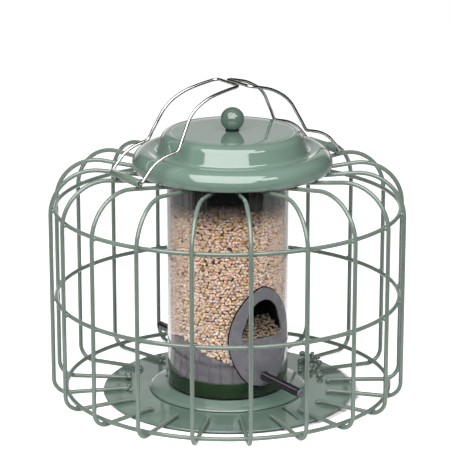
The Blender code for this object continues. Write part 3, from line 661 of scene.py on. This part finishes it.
def buildCollar():
    seat, thick, edge = collar["seat"], collar["flangeThick"], collar["edge"]
    foot = seat - collar["depth"]
    lip, rim, outer = tube["fill"] - collar["wall"], collar["flange"], tube["fill"]
    sides = ribs["collarSides"]
    sleeve = turnShape([(lip, seat + thick), (rim - edge, seat + thick), (rim, seat + thick - edge),
                        (rim, seat), (outer, seat), (outer, seat - collar["plain"]),
                        (outer, foot + collar["plain"]), (outer, foot), (lip, foot)],
                       ribs["collar"] * sides)
    grooved(sleeve, sides, ribs["collar"] * sides, foot - collar["plain"] / 2, seat - collar["plain"] / 2)
    (width, drop), over = collar["window"], collar["overrun"]
    cutter = newShape(bpy.ops.mesh.primitive_cube_add, size=1,
                      location=(0, 0, (foot - over + seat - drop) / 2),
                      rotation=(0, 0, radians(collar["windowTurn"])),
                      scale=(collar["cutLength"], width, collar["depth"] - drop + over))
    cutOut(sleeve, cutter)
    standFor("filling_collar", sleeve, collarPlastic, sharp=30)
    # a black sleeve inside the collar, under the lid: painted shade for the collar's dark inside
    outer, inner = (lip - inset for inset in collar["liner"])
    high, low = seat - collar["shadeSleeveDrop"], collar["shadeSleeveFoot"]
    liner = turnShape([(outer, high), (inner, high), (inner, low), (outer, low)], 96)
    finish(liner, "collarLiner", shadeBlack, sharp=30)


divider = {
    "seat": 0.02095, "height": 0.0305, "skirtWall": 0.001, "skirtDrop": 0.0002, "saddleShare": 0.97,
    "roof": ((0, 1), (0.09, 0.975), (0.278, 0.882), (0.551, 0.675), (0.755, 0.518),
             (0.891, 0.377), (1, 0.26))}


def roofHeight(y):
    share = min(abs(y) / tube["fill"], 1)
    reach, rise = zip(*divider["roof"])
    return divider["seat"] + divider["height"] * float(np.interp(share, reach, rise))


def buildDivider():
    # a ribbed skirt whose top follows the saddle, round the saddle itself
    saddle = frameCopy("seed_divider")
    drawIn(divider["saddleShare"])
    outer, inner, low = tube["fill"], tube["fill"] - divider["skirtWall"], divider["seat"]
    high, segments = low + divider["height"] / 3, ribs["divider"] * ribs["dividerSides"]
    skirt = turnShape([(outer, low), (outer, high), (inner, high), (inner, low)], segments)
    for vert in skirt.data.vertices:
        if vert.co.z > (low + high) / 2:
            vert.co.z = roofHeight(vert.co.y) - divider["skirtDrop"]
    grooved(skirt, ribs["dividerSides"], segments, 0, low + divider["height"])
    standFor("seed_divider", joined([skirt, saddle]), portPlastic, sharp=30)


cupSizes = {"wall": 0.0025, "footEdge": 0.0005, "edge": 0.0004, "shade": 0.0012}


def buildCup():
    low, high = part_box("base_cup")
    outer, wall, edge, toe = high.x, cupSizes["wall"], cupSizes["edge"], cupSizes["footEdge"]
    shadowLineTop = low.z + cupSizes["shade"]
    cup = turnShape([(screwHole, low.z), (outer - toe, low.z), (outer, low.z + toe), (outer, shadowLineTop),
                     (outer, high.z - edge), (outer - edge, high.z), (outer - wall + edge, high.z),
                     (outer - wall, high.z - edge), (outer - wall, low.z + wall),
                     (screwHole, low.z + wall)], 120)
    standFor("base_cup", cup, cupPlastic)
    # the cup's lowest band takes the black: a painted shadow line at its foot
    paintFaces(cup, shadeBlack, lambda co: co.z < shadowLineTop)


buildTube()
buildCollar()
buildDivider()
buildCup()
print("tube, collar, divider and cup made")


# Ports and perches: the rear ones are the front ones turned by half a turn

def finishPair(part, piece, material, sharp, second, test):
    rear = copyOf(piece)
    rear.rotation_euler.z = pi
    for end, twin in (("front", piece), ("rear", rear)):
        standFor(f"{end}_{part}", twin, material, sharp=sharp)
        paintFaces(twin, second, test)


def onCurve(across, height, radius):
    # a place on the tube's curve, by its distance round the curve
    return radius * sin(across / radius), -radius * cos(across / radius), height


def buildPorts():
    outer, seam = port["outer"], port["seam"]
    plateLoop = outlineLoop(port["plateShares"], port["foot"], port["height"], port["halfWidth"],
                            port["points"])
    mouth = mouthLoop(port["points"])
    face = joined([circleOn(plateLoop, 0), circleOn(mouth, 0)])
    editAll(face)
    bpy.ops.mesh.bridge_edge_loops(number_cuts=port["cuts"], interpolation="LINEAR")
    only(face)
    for vert in face.data.vertices:
        vert.co = onCurve(vert.co.x, vert.co.z, outer)

    def onLoop(co, loop):
        across = atan2(co.x, -co.y) * outer
        return min(hypot(across - x, co.z - z) for x, z in loop) < mergeReach

    pick(face, "EDGE", lambda a, b: onLoop(a, mouth) and onLoop(b, mouth))
    for step in (port["hoodStart"], port["hood"] / 2, port["hood"] / 2):
        push(0, step, 0)
    bpy.ops.mesh.edge_face_add()
    pick(face, "EDGE", lambda a, b: onLoop(a, plateLoop) and onLoop(b, plateLoop))
    push(0, 0, 0)
    drawIn(seam / outer)
    push(0, 0, 0)
    bpy.ops.object.mode_set(mode="OBJECT")
    for vert in face.data.vertices:   # a narrow foot under the plate
        if vert.select:
            across, up = atan2(vert.co.x, -vert.co.y) * seam, vert.co.z - port["foot"] - port["height"] / 2
            reach = 1 + port["footReach"] / hypot(across, up)
            vert.co = onCurve(across * reach, vert.co.z + up * (reach - 1), seam)
    bpy.ops.object.mode_set(mode="EDIT")
    push(0, 0, 0)
    drawIn(port["inner"] / seam)
    closeUp(face)
    outward = sum(p.normal.y * p.area for p in face.data.polygons if p.center.y < -port["inner"])
    if outward > 0:
        editAll(face)
        bpy.ops.mesh.flip_normals()
    modify(face, "SOLIDIFY", thickness=port["wall"], offset=-1)
    modify(face, "BEVEL", width=port["edge"], segments=3, limit_method="ANGLE", angle_limit=radians(50))
    # the plate's foot and the hood's inside take the black: painted shade under the plate and in the mouth
    finishPair("port", face, portPlastic, 30, shadeBlack,
               lambda co: hypot(co.x, co.y) < seam + port["footReach"] / 8)


# a spigot's points are (radius, from the root), a ring's (swell, from the root), a tip's (inset, back)
perch = {
    "radius": 0.00325, "length": 0.047, "height": 0.02605, "root": 0.0486, "tipFace": 0.0008,
    "spigot": ((0.0005, -0.004), (0.0019, -0.004), (0.0019, -0.0001)),
    "ring": ((0, 0), (0.0004, 0.0003), (0.0004, 0.0008), (0, 0.0012)),
    "tip": ((0, 0.0031), (0.0002, 0.0029), (0.0002, 0.0025), (0, 0.0023), (0, 0.0007), (0.0007, 0),
            (0.0014625, 0), (0.001625, 0.0006), (0.00285, 0.0006))}


def buildPerches():
    radius, root, tip = perch["radius"], perch["root"], perch["root"] + perch["length"]
    outline = [(r, root + out) for r, out in perch["spigot"]]
    outline += [(radius + swell, root + out) for swell, out in perch["ring"]]
    outline += [(radius - inset, tip - back) for inset, back in perch["tip"]]
    rod = turnShape(outline, 32, closed=False)
    editAll(rod)
    bpy.ops.mesh.fill_holes(sides=0)
    closeUp(rod)
    rod.rotation_euler.x = pi / 2
    rod.location.z = perch["height"]
    bpy.ops.object.transform_apply()
    finishPair("perch", rod, darkPlastic, 50, portPlastic,
               lambda co: abs(co.y) > tip - perch["tipFace"])


buildPorts()
buildPerches()
print("ports and perches moulded")


# Seed: thousands of grains in four batches, over a core in one dark tone that is painted shade between the
# grains; a layer is (depth, gap, shade), its shade a painted darkening of deeper grains

seed = {
    "length": 0.00145, "width": 0.00128, "flat": 0.85, "tipFrom": 0.5, "tip": (0.75, 0.75, 1.06),
    "top": 0.15286, "spread": 0.00245, "fade": (0.139, 0.151, 0.28), "toneRange": (0.82, 1.1),
    "layers": ((0.0012, 1, 1), (0.0028, 1.1, 0.62)), "rowShare": 0.87, "low": 0.004, "clear": 0.0012,
    "jitter": 0.0006, "stray": 0.3, "sizes": (0.88, 1.15),
    "crown": 0.001, "crownRings": 20, "crownStep": 0.0021, "crownGap": 0.0022, "crownStray": 0.02,
    "crownSizes": (0.85, 1.1),
    "heap": {"rows": 9, "from": 0.0305, "step": 0.0019, "half": 7, "gap": 0.0025, "jitter": 0.0008,
             "lift": 0.0008, "edge": 0.0435, "run": 0.013, "shade": 0.22, "share": 0.96,
             "uneven": (-0.0005, 0.0006), "sizes": (0.9, 1.2)},
    "batches": 4, "core": "#5A4130", "coreInset": 0.003, "coreFrom": 0.025, "coreMiddle": 0.14,
    "coreDrops": (0.0022, 0.0014),
    "tones": (("#FFEAC8", 30), ("#FDDEB6", 24), ("#FFF0E4", 20), ("#FBD8C6", 15), ("#E8BE9C", 6),
              ("#F3D49A", 3), ("#C4926A", 2), ("#6A5242", 1), ("#E8D2CA", 4)),
    "husks": {"count": 26, "turn": (-138, -98), "height": (0.133, 0.151), "size": (1.45, 2),
              "gap": 0.0002, "fade": (0.9, 0.45),
              "tones": ("#C9A24A", "#B89A5A", "#8A7A3E", "#E0C27A", "#CDBBB0", "#6F5F3A")}}


def grainShape():
    grain = newShape(bpy.ops.mesh.primitive_uv_sphere_add, segments=6, ring_count=5, radius=1)
    grain.scale = (seed["width"], seed["width"] * seed["flat"], seed["length"])
    bpy.ops.object.transform_apply()
    pick(grain, "VERT", lambda co: co.z > seed["length"] * seed["tipFrom"])
    bpy.ops.transform.resize(value=seed["tip"])
    startPiece()
    return grain


def strew(name, grain, spots):
    # one mesh holds a batch: each spot is (place, turn, size, tone)
    base = np.array([tuple(v.co) for v in grain.data.vertices])
    faces = [tuple(p.vertices) for p in grain.data.polygons]
    verts, allFaces, tones = [], [], []
    for number, (place, turn, size, tone) in enumerate(spots):
        verts.append(base @ np.array(turn.to_matrix()).T * size + np.array(place))
        allFaces += [tuple(i + number * len(base) for i in face) for face in faces]
        tones.append(np.tile(tone, (len(base), 1)))
    mesh = bpy.data.meshes.new(name)
    mesh.from_pydata(np.concatenate(verts).tolist(), [], allFaces)
    layer = mesh.color_attributes.new("grainTone", "FLOAT_COLOR", "POINT")
    layer.data.foreach_set("color", np.concatenate(tones).ravel())
    piece = bpy.data.objects.new(name, mesh)
    scene.collection.objects.link(piece)
    return piece


def hoodReach(z):
    # half the room that the hood takes at this height
    share = (z - port["sill"]) / port["mouthHeight"]
    if not port["hoodShares"][0] <= share <= port["hoodShares"][1]:
        return 0
    heights, widths = zip(*reversed(port["mouthShares"][:-3]))
    half = port["mouthHalf"] * float(np.interp(share, heights, widths))
    return port["outer"] * sin(half / port["outer"]) + port["hoodRoom"]


def buildSeed():
    grain = grainShape()
    names, weights = zip(*seed["tones"])
    tones = [np.array(hexColour(code)) for code in names]
    *fade, least = seed["fade"]
    jitter, spots = seed["jitter"], []

    def oneTone(z, shade=1):
        # painted shade: darker under the collar, where the lid keeps the light off, and by the given shade
        # for deeper grains and the mouths' heaps
        tone = dice.choices(tones, weights)[0].copy()
        tone[:3] *= dice.uniform(*seed["toneRange"]) * shade * float(np.interp(z, fade, (1, least)))
        return tone

    def randomTurn():
        return Vector([dice.gauss(0, 1) for axis in range(3)]).to_track_quat("Z", "Y")

    for depth, gap, shade in seed["layers"]:
        step = seed["spread"] * gap
        rise = step * seed["rowShare"]
        perRow = int(tau * (tube["fill"] - depth) / step)
        for row in range(int((seed["top"] - divider["seat"]) / rise)):
            for column in range(perRow):
                stray = dice.uniform(-seed["stray"], seed["stray"])
                angle = (column + (row % 2) / 2 + stray) * tau / perRow
                z = divider["seat"] + seed["low"] + row * rise + dice.uniform(-jitter, jitter)
                r = tube["fill"] - depth + dice.uniform(-jitter, jitter / 2)
                place = around(angle, r, z)
                if (roofHeight(place[1]) + seed["clear"] <= z <= seed["top"] - seed["crown"]
                        and abs(place[0]) >= hoodReach(z)):
                    spots.append((place, randomTurn(), dice.uniform(*seed["sizes"]), oneTone(z, shade)))
    husks = seed["husks"]
    for number in range(husks["count"]):   # bigger kernels and husks near the top
        angle, z = radians(dice.uniform(*husks["turn"])), dice.uniform(*husks["height"])
        size = dice.uniform(*husks["size"])
        # the husks too grow darker towards the collar: painted shade
        tone = np.array(hexColour(dice.choice(husks["tones"]))) * float(np.interp(z, fade, husks["fade"]))
        r = tube["fill"] - husks["gap"] - seed["width"] * size
        spots.append((around(angle, r, z), randomTurn(), size, tone))
    top = seed["top"] - seed["crown"]   # the level top, a little heaped
    for ring in range(seed["crownRings"]):
        radius = ring * seed["crownStep"]
        count = max(1, int(tau * radius / seed["crownGap"]))
        for column in range(count):
            angle = column * tau / count + dice.uniform(-seed["crownStray"], seed["crownStray"])
            place = around(angle, radius, top + dice.uniform(-jitter, jitter / 3))
            spots.append((place, randomTurn(), dice.uniform(*seed["crownSizes"]), oneTone(top)))
    heap = seed["heap"]
    # the heaps are darkened by the heap's shade: painted shade under the hoods
    for side in (-1, 1):   # heaps in the mouths
        for row in range(heap["rows"]):
            y = heap["from"] + row * heap["step"]
            z = port["sill"] + heap["lift"] + max(0, heap["edge"] - y) * port["hoodRise"] / heap["run"]
            for column in range(-heap["half"], heap["half"] + 1):
                x = column * heap["gap"] + dice.uniform(-heap["jitter"], heap["jitter"])
                if abs(x) <= port["mouthHalf"] * heap["share"]:
                    place = (x, side * y, z + dice.uniform(*heap["uneven"]))
                    spots.append((place, randomTurn(), dice.uniform(*heap["sizes"]),
                                  oneTone(z, heap["shade"])))
    dice.shuffle(spots)
    for number in range(seed["batches"]):
        batch = strew(f"seedGrains_{number + 1}", grain, spots[number::seed["batches"]])
        finish(batch, f"seedGrains_{number + 1}", seedHusk, sharp=180)
    print(len(spots), "grains")
    bpy.data.objects.remove(grain)

    heart = frameCopy("seed_fill")
    only(heart)
    for vert in heart.data.vertices:
        r = hypot(vert.co.x, vert.co.y)
        if r > seed["coreFrom"]:
            vert.co.x *= (r - seed["coreInset"]) / r
            vert.co.y *= (r - seed["coreInset"]) / r
        vert.co.z -= seed["coreDrops"][0 if vert.co.z > seed["coreMiddle"] else 1]
    # one dark tone for the whole core: painted shade behind the grains
    tone = heart.data.color_attributes.new("grainTone", "FLOAT_COLOR", "POINT")
    tone.data.foreach_set("color", np.tile(hexColour(seed["core"]), len(heart.data.vertices)))
    standFor("seed_fill", heart, seedHusk, name="seedCore")


buildSeed()
print("seed strewn")


# Bails and their pivot tubes; the arm's shares are (out, up), a bend is (radius, steps)

bail = {
    "wire": 0.0012, "pivotX": 0.0885, "armY": 0.0205, "barY": 0.015, "rise": 0.0597,
    "barX": {"left": (-1, -0.0003), "right": (1, 0.0088)}, "barRoom": 0.0064, "footBend": (0.002, 8),
    "barBend": (0.004, 8), "runSteps": 6, "tube": (0.003, 0.037), "tubeEdge": 0.0003,
    "clearance": 0.00035, "insert": 0.011, "kink": 0.347,
    "arm": ((1, 0), (0.955, 0.082), (0.896, 0.178), (0.836, 0.243), (0.775, 0.285),
            (0.706, 0.313), (0.654, 0.332), (0.634, 0.357), (0.618, 0.402), (0.596, 0.468),
            (0.568, 0.542), (0.514, 0.687), (0.452, 0.787), (0.379, 0.858), (0.294, 0.914),
            (0.192, 0.952), (0.09, 0.981), (0, 1), (-0.02, 1.004))}


def bendPoints(before, corner, after, radius, steps):
    into, out = (corner - before).normalized(), (after - corner).normalized()
    turn = into.angle(out)
    start = corner - into * radius * tan(turn / 2)
    middle = start + (out - into * into.dot(out)).normalized() * radius
    spoke, axis = start - middle, into.cross(out).normalized()
    angles = [turn * step / steps for step in range(steps + 1)]
    return [middle + spoke * cos(angle) + axis.cross(spoke) * sin(angle) for angle in angles]


def smoothRun(points, steps):
    # a smooth open curve through the given points
    ends = [points[0] * 2 - points[1]] + list(points) + [points[-1] * 2 - points[-2]]
    fine = [curvePoint(*four, step / steps) for four in zip(ends, ends[1:], ends[2:], ends[3:])
            for step in range(steps)]
    return fine + [points[-1]]


def bailPath(side, barX):
    pivotX, rise = bail["pivotX"], bail["rise"]
    reach, lift = zip(*reversed(bail["arm"]))
    arm = [(pivotX * x, rise * z) for x, z in bail["arm"] if pivotX * x > barX + bail["barRoom"]]
    arm.append((barX, rise * float(np.interp(barX / pivotX, reach, lift))))
    top, kink = arm[-1][1], bail["kink"] * rise
    inward = bail["barY"] - bail["armY"]
    half = [Vector((side * x, bail["armY"] + inward * max(0, (z - kink) / (top - kink)), z))
            for x, z in arm]
    start = Vector((side * pivotX, bail["tube"][1] / 2 - bail["insert"], 0))
    mirror = Vector((half[-1].x, -half[-1].y, half[-1].z))
    foot = bendPoints(start, half[0], half[1], *bail["footBend"])
    half = ([start] + foot[:-1] + smoothRun([foot[-1]] + half[1:-1], bail["runSteps"])
            + bendPoints(half[-2], half[-1], mirror, *bail["barBend"]))
    return half + [Vector((p.x, -p.y, p.z)) for p in reversed(half)]


def buildBails():
    for name, (side, barX) in bail["barX"].items():
        low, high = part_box(f"{name}_pivot_tube")
        height = (low.z + high.z) / 2
        points = bailPath(side, barX)
        curve = bpy.data.curves.new(f"{name}Bail", "CURVE")
        curve.dimensions = "3D"
        curve.bevel_depth = bail["wire"]
        curve.bevel_resolution = 4
        curve.use_fill_caps = True
        spline = curve.splines.new("POLY")
        spline.points.add(len(points) - 1)
        for spot, point in zip(spline.points, points):
            spot.co = (point.x, point.y, point.z + height, 1)
        wire = bpy.data.objects.new(f"{name}Bail", curve)
        scene.collection.objects.link(wire)
        only(wire)
        bpy.ops.object.convert(target="MESH")
        standFor(f"{name}_bail", bpy.context.object, steelWire, body=f"{name}_bail",
                 sharp=60)

        radius, length = bail["tube"]
        sleeve = turnSleeve(bail["wire"] + bail["clearance"], radius, length, bail["tubeEdge"], 32)
        sleeve.rotation_euler.x = pi / 2
        sleeve.location = (side * bail["pivotX"], length / 2, height)
        standFor(f"{name}_pivot_tube", sleeve, wireCoat, sharp=50)


buildBails()
print("bails bent")


# The screws stay as the frame has them, in plated steel
for node in ("base_screw", "knob_screw"):
    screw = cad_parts[node]
    screw.data.materials.clear()
    screw.data.materials.append(steelWire)


# Studio: pale floor, white behind the object and a dimmer room round it, one large softbox over the
# camera's left and a small one at its right

studio = {
    "floorColour": "#E4E4E4", "floorGlow": 0.8, "glowFrom": (0.0915, 0.0942), "floorSize": 12,
    "floorFront": 0.22, "glowAcross": (0.07, 0.24), "glowBehind": (0.02, 0.12),
    "target": (0, 0, 0.17), "ambient": 0.17, "room": 0.06, "whiteWithin": (0.86, 0.95),
    "whiteHeight": (0.1, 0.22), "upperWall": 0.5,
    "softbox": {"turn": -9.5, "lift": 46, "distance": 0.85, "size": (1.12, 0.945), "power": 14.8},
    "sideLamp": {"turn": 46, "lift": 36, "distance": 1.3, "size": (0.42, 0.34), "power": 2.2}}
back = (-Vector((shot["place"][0], shot["place"][1], 0))).normalized()
floorCentre = studio["floorSize"] / 2 - studio["floorFront"]


def reckon(tree, operation, a, *b):
    return addNode(tree, "Math", dict(enumerate((a, *b))), operation=operation)


def eased(tree, value, limits, low, high):
    return addNode(tree, "MapRange", {"Value": value, "From Min": limits[0], "From Max": limits[1],
                                      "To Min": low, "To Max": high}, interpolation_type="SMOOTHSTEP")


def seenByCamera(tree):
    # 1 for a ray from the camera, also through glass or off a gloss
    rays = addNode(tree, "LightPath").outputs
    seen = reckon(tree, "MAXIMUM", rays["Is Camera Ray"], rays["Is Glossy Ray"])
    return rays["Is Camera Ray"], reckon(tree, "MAXIMUM", seen, rays["Is Transmission Ray"])


def buildFloor():
    # pale matt paper that ends a little in front of the object; it glows for the camera, so it reads
    # as white and keeps the shadow
    floor = newShape(bpy.ops.mesh.primitive_plane_add, size=studio["floorSize"],
                     rotation=(0, 0, radians(shot["turn"])), location=back * floorCentre)
    floor.name = "studioFloor"
    material, tree, shader, place = newMaterial("paleStudioFloor")
    # no glow under the tray, so its gaps and the slot stay dark
    away = addNode(tree, "VectorMath", {0: place, 1: (0, -floorCentre, 0)}, operation="DISTANCE")
    glow = eased(tree, away.outputs["Value"], studio["glowFrom"], 0, studio["floorGlow"])
    # in reflections and through plastic only the strip behind the object glows
    parts = addNode(tree, "SeparateXYZ", {"Vector": place}).outputs
    strip = eased(tree, reckon(tree, "ABSOLUTE", parts["X"]), studio["glowAcross"], 1, 0)
    behind = eased(tree, parts["Y"], [limit - floorCentre for limit in studio["glowBehind"]], 0, 1)
    direct, seen = seenByCamera(tree)
    strip = reckon(tree, "MULTIPLY", reckon(tree, "MULTIPLY", strip, behind), seen)
    fillIn(tree, shader, {
        "Emission Strength": reckon(tree, "MULTIPLY", glow, reckon(tree, "MAXIMUM", strip, direct)),
        "Base Color": hexColour(studio["floorColour"]), "Roughness": 0.9, "Specular IOR Level": 0,
        "Emission Color": (1, 1, 1, 1)})
    floor.data.materials.append(material)


def buildLamp(name):
    lamp = studio[name]
    front = atan2(shot["place"][1], shot["place"][0]) + radians(lamp["turn"])
    lift = radians(lamp["lift"])
    away = Vector((cos(lift) * cos(front), cos(lift) * sin(front), sin(lift)))
    light = newShape(bpy.ops.object.light_add, type="AREA",
                     rotation=away.to_track_quat("Z", "Y").to_euler(),
                     location=Vector(studio["target"]) + away * lamp["distance"])
    light.name = name
    light.data.shape = "RECTANGLE"
    light.data.size, light.data.size_y = lamp["size"]
    light.data.energy = lamp["power"]


def buildWorld():
    # white behind the object, seen directly, through glass and in reflections; a dimmer room elsewhere
    world = bpy.data.worlds.new("studioWhite")
    scene.world = world
    world.use_nodes = True
    tree = world.node_tree
    ways = addNode(tree, "TexCoord").outputs["Generated"]
    behind = addNode(tree, "VectorMath", {0: ways, 1: back}, operation="DOT_PRODUCT").outputs["Value"]
    wall = eased(tree, behind, studio["whiteWithin"], studio["room"], 1)
    height = addNode(tree, "SeparateXYZ", {"Vector": ways}).outputs["Z"]
    lowered = eased(tree, height, studio["whiteHeight"], 1, studio["upperWall"])
    level = reckon(tree, "MULTIPLY", wall, lowered)
    direct, seen = seenByCamera(tree)
    shown = addNode(tree, "Mix", {0: direct, 2: level, 3: 1}, data_type="FLOAT")
    fillIn(tree, tree.nodes["Background"], {
        "Color": (1, 1, 1, 1),
        "Strength": addNode(tree, "Mix", {0: seen, 2: studio["ambient"], 3: shown}, data_type="FLOAT")})


buildFloor()
buildLamp("softbox")
buildLamp("sideLamp")
buildWorld()
print("studio lit")

startPiece()
